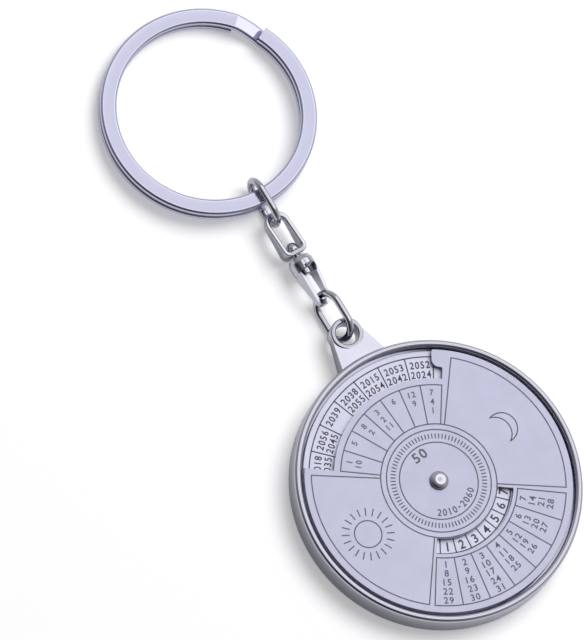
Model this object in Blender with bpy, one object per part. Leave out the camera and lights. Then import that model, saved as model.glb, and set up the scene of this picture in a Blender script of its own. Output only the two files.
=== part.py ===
# Calendar keyring: a cast case with a turning calendar dial, hung from a flat split ring
# by a lug, an oval jump ring, a riveted swivel and a round wire link.
# Units are metres. +Z is up, +Y runs from the case to the split ring, and the origin is the
# centre of the case's flat back.
import math

import bmesh
import bpy
from mathutils import Matrix, Vector

# Clearances
clearance = 0.0003
rivet_clearance = 0.0002
cut_overrun = 0.001

# Case: one casting with a raised rim, a recess for the two discs and a flat back
case_diameter = 0.0400
case_height = 0.0046
rim_width = 0.00105
rim_inner_rounding = 0.0002
rim_outer_share = 0.94
back_edge_rounding = 0.0007

# Lug and its eye, cast with the case
lug_reach = 0.00384
lug_hole_diameter = 0.0031
eye_diameter = 0.0046
eye_thickness = 0.0024
eye_rounding = 0.0003
lug_root_width = 0.0070
lug_root_thickness = 0.0030
lug_tip_thickness = 0.0018
lug_edge_rounding = 0.00025

# Calendar discs, one fixed below and one turning above
dial_recess = 0.00025
dial_thickness = 0.0005
dial_turned_degrees = 11.3
plate_thickness = 0.0006
disc_edge_chamfer = 0.0001

# Windows in the turning dial, each seven columns of a 28-column year wide
column_count = 28
window_columns = 7
year_window_depth = 0.00415
weekday_window_inner_radius = 0.00815
weekday_window_height = 0.0022
finger_tab_reach = 0.00145
finger_tab_above_window = 0.0017
finger_tab_inset = 0.00035
finger_tab_fillet = 0.0003

# Rivet that holds the discs, set in a blind bore so that the back stays plain
rivet_shank_diameter = 0.0016
rivet_head_diameter = 0.0026
rivet_head_height = 0.00055
back_under_rivet = 0.0007

# Oval jump ring in the lug's eye
jump_wire = 0.0010
jump_side_room = 0.0005
jump_length = 0.0078
jump_roll_degrees = 25

# Lower half of the swivel: a turned barrel that narrows into a flat eye
swivel_roll_degrees = 15
swivel_length = 0.0075
barrel_length = 0.0028
barrel_diameter = 0.0035
barrel_end_diameter = 0.0028
barrel_end_rounding = 0.0004
barrel_wall = 0.00145
swivel_slot_width = 0.0015
swivel_tail_room = 0.00025
swivel_flank = 0.00048
swivel_end_wall = 0.00075
swivel_eye_depth = 0.0010
swivel_neck_depth = 0.0019
swivel_edge_rounding = 0.00015

# Upper half of the swivel: a strip bent into a bow, deep at the rivet and narrow at the top
bow_length = 0.00685
bow_strip = 0.0006
bow_base_strip = 0.00065
bow_top_strip = 0.0008
bow_base_depth = 0.0028
bow_top_depth = 0.0011
bow_corner = 0.0007
bow_edge_chamfer = 0.00014

# Rivet that lets the two halves of the swivel spin
pin_shank_diameter = 0.0010
pin_head_diameter = 0.0019
pin_head_height = 0.0012
pin_tail_diameter = 0.0015
pin_tail_length = 0.0010

# Round wire link that stands between the swivel and the split ring
link_wire = 0.0010
link_side_room = 0.0005
link_length = 0.0077

# Split ring: flat wire wound twice round, with one step between its turns
ring_diameter = 0.0300
ring_band_width = 0.0023
ring_wire_thickness = 0.00095
ring_turn_gap = 0.00042
ring_edge_chamfer = 0.0002
ring_end_degrees = 26
ring_step_start_degrees = 41
ring_step_end_degrees = 27
ring_inner_end_degrees = 43

# How finely round shapes are faceted
round_steps = 72
small_steps = 32
wire_points = 40
corner_steps = 3
dome_steps = 6
near_half_circle_share = 0.99
ring_flat_steps = 68
ring_step_steps = 7

# Places worked out from the sizes above
case_radius = case_diameter / 2
recess_radius = case_radius - rim_width
rim_outer_rounding = rim_outer_share * (rim_width - rim_inner_rounding)
disc_radius = recess_radius - clearance
dial_top = case_height - dial_recess
dial_bottom = dial_top - dial_thickness
plate_top = dial_bottom - clearance
plate_bottom = plate_top - plate_thickness
floor_top = plate_bottom - clearance
year_window_inner_radius = disc_radius - year_window_depth
weekday_window_outer_radius = weekday_window_inner_radius + weekday_window_height
shank_radius = rivet_shank_diameter / 2
shank_hole_radius = shank_radius + clearance
ring_height = 2 * ring_wire_thickness + ring_turn_gap
link_bend_radius = (ring_height + link_wire) / 2 + link_side_room
chain_height = link_bend_radius + link_wire / 2
eye_radius = eye_diameter / 2
lug_hole_radius = lug_hole_diameter / 2
lug_hole_distance = case_radius + lug_reach
eye_wall_y = lug_hole_distance + (lug_hole_radius + eye_radius) / 2
jump_bend_radius = (eye_thickness + jump_wire) / 2 + jump_side_room
jump_straight = jump_length - jump_wire - 2 * jump_bend_radius
jump_top_y = eye_wall_y + jump_straight + jump_bend_radius
slot_half_width = swivel_slot_width / 2
slot_half_top = pin_tail_diameter / 2 + swivel_tail_room
slot_corner = 2 * rivet_clearance
swivel_end_y = jump_top_y - slot_half_width - swivel_end_wall
barrel_top_y = swivel_end_y + swivel_length
barrel_bottom_y = barrel_top_y - barrel_length
slot_top_y = barrel_top_y - barrel_wall
bow_width = pin_head_diameter + 2 * rivet_clearance + 2 * bow_strip
bow_base_y = barrel_top_y + clearance
bow_top_y = bow_base_y + bow_length
bow_arch_y = bow_top_y - bow_top_strip / 2
link_low_y = bow_top_y - bow_top_strip - clearance - link_wire
link_bend_y = link_low_y + link_length - link_wire / 2 - link_bend_radius
link_room = link_bend_radius - link_wire / 2 - clearance
band_y = link_bend_y + math.sqrt(link_room ** 2 - (ring_height / 2) ** 2) - ring_band_width / 2
band_radius = (ring_diameter - ring_band_width) / 2
column_degrees = 360 / column_count
window_half_degrees = window_columns * column_degrees / 2


def clear_scene():
    for thing in list(bpy.data.objects):
        bpy.data.objects.remove(thing, do_unlink=True)


def metal(name, colour, roughness):
    material = bpy.data.materials.new(name)
    material.use_nodes = True
    shader = material.node_tree.nodes["Principled BSDF"]
    shader.inputs["Base Color"].default_value = (*colour, 1)
    shader.inputs["Metallic"].default_value = 1
    shader.inputs["Roughness"].default_value = roughness
    return material


def add_mesh(name, bm, material, smooth=True):
    """Turn a bmesh into an object whose faces all point outwards."""
    bmesh.ops.remove_doubles(bm, verts=bm.verts, dist=rivet_clearance / 100)
    bmesh.ops.recalc_face_normals(bm, faces=bm.faces)
    mesh = bpy.data.meshes.new(name)
    bm.to_mesh(mesh)
    bm.free()
    if smooth:
        mesh.shade_smooth()
        mesh.set_sharp_from_angle(angle=math.radians(35))
    thing = bpy.data.objects.new(name, mesh)
    bpy.context.scene.collection.objects.link(thing)
    if material:
        mesh.materials.append(material)
    return thing


def place(thing, location, turn=(0, 0, 0)):
    thing.location = location
    thing.rotation_euler = turn
    return thing


def rounded(corners, steps=corner_steps):
    """Points of a closed outline whose corners (x, y, radius) are rounded with arcs."""
    points = []
    count = len(corners)
    for index, (x, y, radius) in enumerate(corners):
        corner = Vector((x, y))
        if radius == 0:
            points.append(corner)
            continue
        before = Vector(corners[index - 1][:2]) - corner
        after = Vector(corners[(index + 1) % count][:2]) - corner
        half_angle = before.angle(after) / 2
        reach = radius / math.tan(half_angle)
        start = corner + before.normalized() * reach
        middle = (before.normalized() + after.normalized()).normalized()
        centre = corner + middle * radius / math.sin(half_angle)
        sweep = math.pi - 2 * half_angle
        side = math.copysign(1, before.cross(after))
        arm = start - centre
        for step in range(steps + 1):
            turned = arm.copy()
            turned.rotate(Matrix.Rotation(-side * sweep * step / steps, 2))
            points.append(centre + turned)
    return points


def polar(radius, degrees):
    return (radius * math.cos(math.radians(degrees)), radius * math.sin(math.radians(degrees)))


def arc(radius, start_degrees, end_degrees, steps):
    span = end_degrees - start_degrees
    return [polar(radius, start_degrees + span * i / steps) for i in range(steps + 1)]


def lathe(name, profile, steps, material=None):
    """Spin a profile of (radius, height) points about Z: a loop, or a line from axis to axis."""
    bm = bmesh.new()
    verts = [bm.verts.new((radius, 0, height)) for radius, height in profile]
    on_axis = profile[0][0] == 0 and profile[-1][0] == 0
    edges = [bm.edges.new((verts[i - 1], verts[i])) for i in range(1 if on_axis else 0, len(verts))]
    bmesh.ops.spin(
        bm, geom=verts + edges, cent=(0, 0, 0), axis=(0, 0, 1), dvec=(0, 0, 0),
        angle=2 * math.pi, steps=steps, use_merge=True, use_duplicate=False)
    return add_mesh(name, bm, material)


def prism(name, outline, half_depth, material=None, smooth=False):
    """A plate with this outline in XY, whose half depth in Z may change along Y."""
    depth_at = half_depth if callable(half_depth) else lambda y: half_depth
    bm = bmesh.new()
    top = [bm.verts.new((x, y, depth_at(y))) for x, y in outline]
    low = [bm.verts.new((x, y, -depth_at(y))) for x, y in outline]
    bm.faces.new(top)
    bm.faces.new(list(reversed(low)))
    for i in range(len(top)):
        bm.faces.new((top[i - 1], low[i - 1], low[i], top[i]))
    bmesh.ops.triangulate(bm, faces=[face for face in bm.faces if len(face.verts) > 4])
    return add_mesh(name, bm, material, smooth)


def loft(name, sections, closed, material):
    """Skin sections that have equal numbers of points, round a loop or from end to end."""
    bm = bmesh.new()
    rows = [[bm.verts.new(point) for point in section] for section in sections]
    pairs = list(zip(rows, rows[1:] + rows[:1])) if closed else list(zip(rows, rows[1:]))
    for near, far in pairs:
        for i in range(len(near)):
            bm.faces.new((near[i - 1], near[i], far[i], far[i - 1]))
    if not closed:
        bm.faces.new(rows[0])
        bm.faces.new(list(reversed(rows[-1])))
    return add_mesh(name, bm, material)


def combine(thing, other, operation):
    """Cut or join with another object, which stays only as a guide."""
    modifier = thing.modifiers.new(operation.lower() + "_" + other.name, "BOOLEAN")
    modifier.operation = operation
    modifier.solver = "EXACT"
    modifier.object = other
    other.hide_render = True
    other.display_type = "WIRE"
    other.parent = thing
    other.matrix_parent_inverse = Matrix()


def round_edges(thing, width, segments=1):
    bevel = thing.modifiers.new("rounded_edges", "BEVEL")
    bevel.width = width
    bevel.segments = segments
    bevel.limit_method = "ANGLE"
    bevel.angle_limit = math.radians(50)


def cylinder(name, radius, low, high, steps=small_steps):
    thing = prism(name, arc(radius, 0, 360, steps)[:-1], (high - low) / 2)
    thing.location = (0, 0, (high + low) / 2)
    return thing


def chamfered(width, depth, chamfer):
    """A rectangular wire section, centred, with its four corners taken off."""
    half_width = width / 2
    half_depth = depth / 2
    flat_width = half_width - chamfer
    flat_depth = half_depth - chamfer
    return [(half_width, -flat_depth), (half_width, flat_depth), (flat_width, half_depth),
            (-flat_width, half_depth), (-half_width, flat_depth), (-half_width, -flat_depth),
            (-flat_width, -half_depth), (flat_width, -half_depth)]


def oval_wire(name, bend_radius, straight, wire, material):
    """A closed link of round wire: two half circles in XY joined by straight sides along Y.
    The centre of its lower bend is the local origin."""
    bend_steps = wire_points // 2 - 1
    points = arc(bend_radius, 180, 360, bend_steps)
    points += [(x, y + straight) for x, y in arc(bend_radius, 0, 180, bend_steps)]
    curve = bpy.data.curves.new(name, "CURVE")
    curve.dimensions = "3D"
    curve.bevel_depth = wire / 2
    curve.bevel_resolution = 3
    spline = curve.splines.new("POLY")
    spline.points.add(len(points) - 1)
    for point, (x, y) in zip(spline.points, points):
        point.co = (x, y, 0, 1)
    spline.use_cyclic_u = True
    curve.materials.append(material)
    thing = bpy.data.objects.new(name, curve)
    bpy.context.scene.collection.objects.link(thing)
    return thing


def dome(radius, base, height):
    """Profile points from the rim of a dome up to its crown on the axis."""
    quarter = arc(1, 0, 90, dome_steps)[:-1]
    return [(radius * across, base + height * up) for across, up in quarter] + [(0, base + height)]


def along_chain(start_y):
    """Turn what was made about Z to lie along the chain, from this distance on."""
    return Matrix.Translation((0, start_y, 0)) @ Matrix.Rotation(-math.pi / 2, 4, "X")


def make_case(material):
    """The casting: a turned cup with a flat back, the lug on its +Y side and the lug's eye."""
    profile = rounded([
        (shank_hole_radius, floor_top, 0),
        (recess_radius, floor_top, 0),
        (recess_radius, case_height, rim_inner_rounding),
        (case_radius, case_height, rim_outer_rounding),
        (case_radius, 0, back_edge_rounding),
        (0, 0, 0),
        (0, back_under_rivet, 0),
        (shank_hole_radius, back_under_rivet, 0)])
    profile = profile[-2:] + profile[:-2]
    case = lathe("case", profile, round_steps, material)
    lug_root_y = case_radius - rim_width * 2 / 3

    def lug_half_thickness(y):
        share = min(max((y - lug_root_y) / (lug_hole_distance - lug_root_y), 0), 1)
        return (lug_root_thickness + (lug_tip_thickness - lug_root_thickness) * share) / 2

    half_root = lug_root_width / 2
    tip_rounding = eye_radius * 2 / 3
    lug = prism("lug", rounded([
        (half_root, lug_root_y, 0), (eye_radius, lug_hole_distance, 0),
        (eye_radius, eye_wall_y, tip_rounding), (-eye_radius, eye_wall_y, tip_rounding),
        (-eye_radius, lug_hole_distance, 0), (-half_root, lug_root_y, 0)]), lug_half_thickness)
    round_edges(lug, lug_edge_rounding)
    lug.location = (0, 0, chain_height)
    half_eye = eye_thickness / 2
    eye = lathe("lug_eye", rounded([
        (lug_hole_radius, -half_eye, eye_rounding), (eye_radius, -half_eye, eye_rounding),
        (eye_radius, half_eye, eye_rounding), (lug_hole_radius, half_eye, eye_rounding)]), small_steps)
    eye.location = (0, lug_hole_distance, chain_height)
    hole_reach = half_eye + cut_overrun
    hole = cylinder("lug_hole", (lug_hole_radius + eye_radius) / 2, -hole_reach, hole_reach)
    hole.location = (0, lug_hole_distance, chain_height)
    combine(case, lug, "UNION")
    combine(case, hole, "DIFFERENCE")
    combine(case, eye, "UNION")
    return case


def disc(name, thickness, centre_height, material):
    half = thickness / 2
    profile = rounded([
        (shank_hole_radius, -half, 0), (disc_radius, -half, disc_edge_chamfer),
        (disc_radius, half, disc_edge_chamfer), (shank_hole_radius, half, 0)], 1)
    return place(lathe(name, profile, round_steps, material), (0, 0, centre_height))


def make_dial(material):
    """The turning disc: a year window open to its edge, with a finger tab, and a weekday window."""
    dial = disc("dial", dial_thickness, (dial_top + dial_bottom) / 2, material)
    window_steps = window_columns * 2
    cut_half = dial_thickness / 2 + cut_overrun
    right = 90 - window_half_degrees
    left = 90 + window_half_degrees
    tab_high = disc_radius - finger_tab_inset
    tab_low = year_window_inner_radius + finger_tab_above_window
    tab_end = right + math.degrees(finger_tab_reach / tab_low)
    tab_half = (tab_high - tab_low) / 2
    tab_rounding = min(tab_half, finger_tab_reach - finger_tab_fillet) * near_half_circle_share
    tab = rounded([
        (*polar(year_window_inner_radius, right), 0), (*polar(tab_low, right), finger_tab_fillet),
        (*polar(tab_low, tab_end), tab_rounding), (*polar(tab_high, tab_end), tab_rounding),
        (*polar(case_radius, (right + tab_end) / 2), 0)], small_steps // 4)
    years = prism("year_window", tab + arc(case_radius, tab_end, left, window_steps)
                  + arc(year_window_inner_radius, left, right, window_steps)[:-1], cut_half)
    opposite = (right + 180, left + 180)
    weekdays = prism("weekday_window", arc(weekday_window_outer_radius, *opposite, window_steps)
                     + arc(weekday_window_inner_radius, *reversed(opposite), window_steps), cut_half)
    combine(dial, years, "DIFFERENCE")
    combine(dial, weekdays, "DIFFERENCE")
    dial.rotation_euler = (0, 0, math.radians(dial_turned_degrees))
    return dial


def make_centre_rivet(material):
    """A domed rivet whose shank stands in the case's blind bore."""
    head_base = dial_top + rivet_clearance
    foot = back_under_rivet + rivet_clearance
    profile = [(0, foot), (shank_radius, foot), (shank_radius, head_base)]
    head = dome(rivet_head_diameter / 2, head_base, rivet_head_height)
    return lathe("centre_rivet", profile + head, small_steps, material)


def make_swivel_eye(material):
    """The lower half of the swivel, about the centre of the jump ring's wire in its slot."""
    neck_y = barrel_bottom_y - jump_top_y
    slot_end_y = slot_top_y - jump_top_y
    far_end_y = swivel_end_y - jump_top_y
    end_radius = barrel_end_diameter / 2
    belly_radius = barrel_diameter / 2
    barrel = lathe("swivel_eye", rounded([
        (0, 0, 0), (end_radius, 0, 0), (belly_radius, barrel_length / 3, barrel_end_rounding),
        (belly_radius, barrel_length * 2 / 3, barrel_end_rounding), (end_radius, barrel_length, 0),
        (0, barrel_length, 0)]), small_steps, material)
    barrel.data.transform(along_chain(neck_y))

    def half_depth(y):
        share = min(max(y / neck_y, 0), 1)
        return (swivel_eye_depth + (swivel_neck_depth - swivel_eye_depth) * share) / 2

    outer_half = slot_half_width + swivel_flank
    outer_half_top = slot_half_top + swivel_flank
    round_share = 0.9
    end_rounding = outer_half * round_share
    shank = prism("swivel_shank", rounded([
        (outer_half, far_end_y, end_rounding), (outer_half, 0, 0),
        (outer_half_top, neck_y, 0), (outer_half_top, slot_end_y, 0),
        (-outer_half_top, slot_end_y, 0), (-outer_half_top, neck_y, 0),
        (-outer_half, 0, 0), (-outer_half, far_end_y, end_rounding)], 5), half_depth)
    round_edges(shank, swivel_edge_rounding)
    slot_rounding = slot_half_width * near_half_circle_share
    slot = prism("swivel_slot", rounded([
        (slot_half_width, -slot_half_width, slot_rounding), (slot_half_top, neck_y, 0),
        (slot_half_top, slot_end_y, slot_corner), (-slot_half_top, slot_end_y, slot_corner),
        (-slot_half_top, neck_y, 0), (-slot_half_width, -slot_half_width, slot_rounding)], 5),
        belly_radius + cut_overrun)
    bore = cylinder("swivel_bore", pin_shank_diameter / 2 + rivet_clearance, 0, barrel_length)
    bore.data.transform(along_chain(0))
    bore.location = (0, slot_end_y + barrel_length / 3, 0)
    combine(barrel, shank, "UNION")
    combine(barrel, slot, "DIFFERENCE")
    combine(barrel, bore, "DIFFERENCE")
    return place(barrel, (0, jump_top_y, chain_height), (0, math.radians(swivel_roll_degrees), 0))


def make_bow(material):
    """The upper half of the swivel: a strip bent round in XY, with its rivet hole at the origin."""
    half_width = (bow_width - bow_strip) / 2
    base = bow_base_strip / 2
    top = bow_length - bow_top_strip / 2
    top_rounding = half_width * near_half_circle_share
    path = rounded([
        (half_width, base, bow_corner), (half_width, top, top_rounding),
        (-half_width, top, top_rounding), (-half_width, base, bow_corner)], 6)
    sections = []
    for index, point in enumerate(path):
        before = path[index - 1]
        after = path[(index + 1) % len(path)]
        tangent = (after - before).normalized()
        outward = Vector((tangent.y, -tangent.x))
        rise = min(max((point.y - base) / (top - base), 0), 1)
        depth = bow_base_depth + (bow_top_depth - bow_base_depth) * rise
        crown = abs(outward.y)
        end_strip = bow_top_strip if outward.y > 0 else bow_base_strip
        strip = bow_strip + (end_strip - bow_strip) * crown
        sections.append([(point.x + outward.x * across, point.y + outward.y * across, deep)
                         for across, deep in chamfered(strip, depth, bow_edge_chamfer)])
    bow = loft("swivel_bow", sections, True, material)
    hole_radius = pin_shank_diameter / 2 + rivet_clearance
    hole = cylinder("bow_hole", hole_radius, -cut_overrun, bow_base_strip + cut_overrun)
    hole.data.transform(along_chain(0))
    hole.location = (0, base, 0)
    combine(bow, hole, "DIFFERENCE")
    return place(bow, (0, bow_base_y, chain_height))


def make_swivel_pin(material):
    """The rivet on the chain's axis: its head turns in the bow, its tail holds in the barrel."""
    head_base = bow_base_strip + rivet_clearance
    tail_top = slot_top_y - rivet_clearance - bow_base_y
    tail_low = tail_top - pin_tail_length
    profile = [(0, tail_low), (pin_tail_diameter / 2, tail_low), (pin_tail_diameter / 2, tail_top),
               (pin_shank_diameter / 2, tail_top), (pin_shank_diameter / 2, head_base)]
    pin = lathe("swivel_rivet", profile + dome(pin_head_diameter / 2, head_base, pin_head_height),
                small_steps, material)
    pin.data.transform(along_chain(0))
    return place(pin, (0, bow_base_y, chain_height))


def make_link(material):
    """The wire link, about the middle of the bow's arch that it hangs on."""
    low_bend_y = link_low_y + link_wire / 2 + link_bend_radius
    link = oval_wire("connecting_link", link_bend_radius, link_bend_y - low_bend_y, link_wire, material)
    link.data.transform(Matrix.Translation((0, low_bend_y - bow_arch_y, 0)))
    return place(link, (0, bow_arch_y, chain_height), (0, -math.pi / 2, 0))


def ring_stations():
    """Angle and height of the split ring's wire, from its upper end round to its lower end."""
    rise = ring_wire_thickness + ring_turn_gap
    upper_end = ring_step_start_degrees - 360
    lower_start = ring_step_end_degrees - 360
    lower_end = ring_inner_end_degrees - 720
    stations = []
    for i in range(ring_flat_steps):
        share = i / ring_flat_steps
        stations.append((ring_end_degrees + (upper_end - ring_end_degrees) * share, rise / 2))
    for i in range(ring_step_steps):
        share = i / ring_step_steps
        eased_share = share * share * (3 - 2 * share)
        stations.append((upper_end + (lower_start - upper_end) * share, rise / 2 - rise * eased_share))
    for i in range(ring_flat_steps + 1):
        share = i / ring_flat_steps
        stations.append((lower_start + (lower_end - lower_start) * share, -rise / 2))
    return stations


def make_split_ring(material):
    """Two turns of flat wire in one piece, about the ring's own centre."""
    section = chamfered(ring_band_width, ring_wire_thickness, ring_edge_chamfer)
    sections = []
    for degrees, height in ring_stations():
        sections.append([
            Vector((*polar(band_radius + across, degrees), height + deep)) for across, deep in section])
    quarter_of_wire = len(sections) // 4
    least_gap = min(
        (a - b).length
        for i, near in enumerate(sections) for far in sections[i + quarter_of_wire:]
        for a in near for b in far)
    print("split ring: least gap between its turns %.3f mm" % (least_gap * 1000))
    ring = loft("split_ring", sections, False, material)
    half_height = ring_height / 2
    reach = band_radius + ring_diameter / 2
    droop = math.asin(chain_height / math.hypot(reach, half_height)) - math.atan2(half_height, reach)
    centre = (0, band_y + band_radius * math.cos(droop), chain_height - band_radius * math.sin(droop))
    return place(ring, centre, (-droop, 0, 0))


def build():
    clear_scene()
    chrome = (0.78, 0.78, 0.82)
    matte = (0.62, 0.62, 0.70)
    pale = (0.74, 0.74, 0.79)
    make_case(metal("cast_chrome", chrome, 0.12))
    disc("calendar_plate", plate_thickness, (plate_top + plate_bottom) / 2,
         metal("plate_satin", pale, 0.35))
    make_dial(metal("dial_satin", matte, 0.4))
    make_centre_rivet(metal("rivet_chrome", chrome, 0.1))
    jump = oval_wire("jump_ring", jump_bend_radius, jump_straight, jump_wire,
                     metal("jump_ring_chrome", chrome, 0.12))
    place(jump, (0, eye_wall_y, chain_height), (0, math.radians(jump_roll_degrees - 90), 0))
    make_swivel_eye(metal("swivel_chrome", chrome, 0.12))
    make_bow(metal("bow_chrome", chrome, 0.12))
    make_swivel_pin(metal("pin_chrome", chrome, 0.2))
    make_link(metal("link_chrome", chrome, 0.12))
    make_split_ring(metal("ring_chrome", chrome, 0.15))


build()
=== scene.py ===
import math

import bmesh
import bpy
from mathutils import Matrix, Vector


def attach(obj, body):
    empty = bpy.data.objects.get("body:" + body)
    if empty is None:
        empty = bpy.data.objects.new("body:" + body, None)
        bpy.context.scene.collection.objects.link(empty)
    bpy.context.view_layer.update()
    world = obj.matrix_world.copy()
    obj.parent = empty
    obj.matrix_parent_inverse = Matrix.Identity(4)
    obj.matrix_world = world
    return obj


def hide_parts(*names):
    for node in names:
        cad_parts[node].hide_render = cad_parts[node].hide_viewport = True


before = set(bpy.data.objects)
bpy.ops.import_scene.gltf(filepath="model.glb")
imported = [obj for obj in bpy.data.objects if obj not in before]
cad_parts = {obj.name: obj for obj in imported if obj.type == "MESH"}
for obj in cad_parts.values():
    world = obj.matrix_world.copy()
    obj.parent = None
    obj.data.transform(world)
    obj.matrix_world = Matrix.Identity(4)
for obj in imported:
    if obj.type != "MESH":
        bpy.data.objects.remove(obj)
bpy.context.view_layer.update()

# The case is one zinc die casting: a round cup with a raised rim, and on its edge a tapered
# lug with a collared hole. It is barrel-polished and chrome-plated, so every edge is soft.
case_radius = 0.0200
case_height = 0.0046
recess_radius = 0.01895
floor_height = 0.00265
rivet_bore_radius = 0.0011
rivet_bore_foot = 0.0007
rim_outer_rounding = 0.0005
rim_inner_rounding = 0.00054
back_edge_rounding = 0.0007
chain_height = 0.00266
lug_hole_y = 0.02384
lug_hole_radius = 0.00155
eye_radius = 0.0023
eye_half_thickness = 0.0012
eye_rounding = 0.0003
lug_root_y = 0.0193
lug_tip_y = 0.025765
lug_root_half_width = 0.0035
lug_root_thickness = 0.0030
lug_tip_thickness = 0.0018
lug_edge_rounding = 0.00025
large_steps = 256
lug_steps = 96


def linear(hex_colour):
    """An sRGB hex colour as the linear colour that a socket takes."""
    parts = [int(hex_colour[i:i + 2], 16) / 255 for i in (1, 3, 5)]
    return (*[p / 12.92 if p <= 0.04045 else ((p + 0.055) / 1.055) ** 2.4 for p in parts], 1)


def scaled(hex_colour, factor, lift=0):
    """The same as linear, with the colour made lighter or darker."""
    return (*[min(c * factor + lift, 1) for c in linear(hex_colour)[:3]], 1)


def feed(tree, node, values):
    """Give a node's inputs their values, or the sockets that they follow."""
    for key, value in values.items():
        if isinstance(value, bpy.types.NodeSocket):
            tree.links.new(value, node.inputs[key])
        else:
            node.inputs[key].default_value = value


def add_node(tree, kind, values=None, **settings):
    """Add a node, set its properties and feed its inputs."""
    node = tree.nodes.new(kind)
    for name, value in settings.items():
        setattr(node, name, value)
    feed(tree, node, values or {})
    return node


def new_material(name):
    """A new material, its tree, its shader and the place on the piece that patterns read."""
    material = bpy.data.materials.new(name)
    material.use_nodes = True
    tree = material.node_tree
    place = add_node(tree, "ShaderNodeTexCoord").outputs["Object"]
    return material, tree, tree.nodes["Principled BSDF"], place


# Most of a noise lies between these two values. They become the ends of what it drives.
noise_low = 0.3
noise_high = 0.7
# Each kind of mark is given as the number of its patches to the metre: 420 are 2.4 mm each.
gloss_patches = 420
darker_patch = 0.94
scratch_turns = (0.5, 2.0)
scratch_stretch = 0.04
scratch_starts = 0.62
scratch_full = 0.72
scratch_strength = 0.12
scratch_depth = 0.000004


def plated_metal(name, colour, roughness, haze, scratch_spacing):
    """Chrome plate over polished metal: slow changes of gloss, and hair scratches two ways."""
    material, tree, shader, place = new_material(name)
    cloud = add_node(tree, "ShaderNodeTexNoise", {"Vector": place, "Scale": gloss_patches, "Detail": 3})
    gloss = add_node(tree, "ShaderNodeMapRange", {
        "Value": cloud.outputs["Fac"], "From Min": noise_low, "From Max": noise_high,
        "To Min": roughness, "To Max": roughness + haze})
    tint = add_node(tree, "ShaderNodeMix", {
        "Factor": cloud.outputs["Fac"], "A": linear(colour), "B": scaled(colour, darker_patch)},
        data_type="RGBA")
    hairs = []
    for turn in scratch_turns:
        along = add_node(tree, "ShaderNodeMapping", {
            "Vector": place, "Rotation": (turn / 3, turn / 2, turn), "Scale": (1, scratch_stretch, 1)})
        hairs.append(add_node(tree, "ShaderNodeTexNoise", {
            "Vector": along.outputs["Vector"], "Scale": 1 / scratch_spacing, "Detail": 2}).outputs["Fac"])
    both = add_node(tree, "ShaderNodeMath", {0: hairs[0], 1: hairs[1]}, operation="MAXIMUM")
    marks = add_node(tree, "ShaderNodeMapRange", {
        "Value": both.outputs["Value"], "From Min": scratch_starts, "From Max": scratch_full})
    bump = add_node(tree, "ShaderNodeBump", {
        "Height": marks.outputs["Result"], "Strength": scratch_strength, "Distance": scratch_depth},
        invert=True)
    feed(tree, shader, {
        "Metallic": 1, "Base Color": tint.outputs["Result"], "Roughness": gloss.outputs["Result"],
        "Normal": bump.outputs["Normal"]})
    return material


def rounded(corners, steps=6):
    """Points of a closed outline whose corners (x, y, radius) are rounded with arcs."""
    points = []
    count = len(corners)
    for index, (x, y, radius) in enumerate(corners):
        corner = Vector((x, y))
        if radius == 0:
            points.append(corner)
            continue
        before = Vector(corners[index - 1][:2]) - corner
        after = Vector(corners[(index + 1) % count][:2]) - corner
        half_angle = before.angle(after) / 2
        start = corner + before.normalized() * radius / math.tan(half_angle)
        middle = (before.normalized() + after.normalized()).normalized()
        centre = corner + middle * radius / math.sin(half_angle)
        sweep = math.pi - 2 * half_angle
        side = math.copysign(1, before.cross(after))
        for step in range(steps + 1):
            arm = start - centre
            arm.rotate(Matrix.Rotation(-side * sweep * step / steps, 2))
            points.append(centre + arm)
    return points


def polar(radius, degrees):
    """The point at this radius and angle."""
    return Vector((radius * math.cos(math.radians(degrees)), radius * math.sin(math.radians(degrees))))


def arc(radius, start, end, steps):
    """Points along an arc about the origin, both ends included."""
    return [polar(radius, start + (end - start) * i / steps) for i in range(steps + 1)]


# Points nearer than these are one. The second is for what a cut leaves, in metres too.
same_point = 1e-7
cutting_dust = 5e-7
smooth_below = math.radians(32)


def smooth_faces(mesh):
    """Shade a mesh smooth, but for its real edges."""
    mesh.shade_smooth()
    mesh.set_sharp_from_angle(angle=smooth_below)


def new_piece(name, bm, material=None):
    """Make an object of a bmesh, merged, with its faces outwards and only its real edges sharp."""
    bmesh.ops.remove_doubles(bm, verts=bm.verts, dist=same_point)
    bmesh.ops.recalc_face_normals(bm, faces=bm.faces)
    mesh = bpy.data.meshes.new(name)
    bm.to_mesh(mesh)
    bm.free()
    smooth_faces(mesh)
    if material:
        mesh.materials.append(material)
    piece = bpy.data.objects.new(name, mesh)
    bpy.context.scene.collection.objects.link(piece)
    return piece


def lathe(name, profile, steps, material=None):
    """Turn a profile of (radius, height) about Z: a loop, or a line from axis to axis."""
    bm = bmesh.new()
    on_axis = profile[0][0] == 0 and profile[-1][0] == 0
    rows = [[bm.verts.new((*polar(radius, 360 * i / steps), height)) for i in range(steps)]
            if radius else [bm.verts.new((0, 0, height))] * steps for radius, height in profile]
    for below, above in zip(rows, rows[1:] + ([] if on_axis else rows[:1])):
        for i in range(steps):
            corners = [below[i - 1], below[i], above[i], above[i - 1]]
            bm.faces.new(list(dict.fromkeys(corners)))
    return new_piece(name, bm, material)


def prism(name, outline, half_depth):
    """A plate with this outline in XY, whose half depth in Z may change along Y."""
    depth_at = half_depth if callable(half_depth) else lambda y: half_depth
    bm = bmesh.new()
    top = [bm.verts.new((x, y, depth_at(y))) for x, y in outline]
    low = [bm.verts.new((x, y, -depth_at(y))) for x, y in outline]
    bm.faces.new(top)
    bm.faces.new(list(reversed(low)))
    for i in range(len(top)):
        bm.faces.new((top[i - 1], low[i - 1], low[i], top[i]))
    bmesh.ops.triangulate(bm, faces=[face for face in bm.faces if len(face.verts) > 4])
    return new_piece(name, bm)


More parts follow.
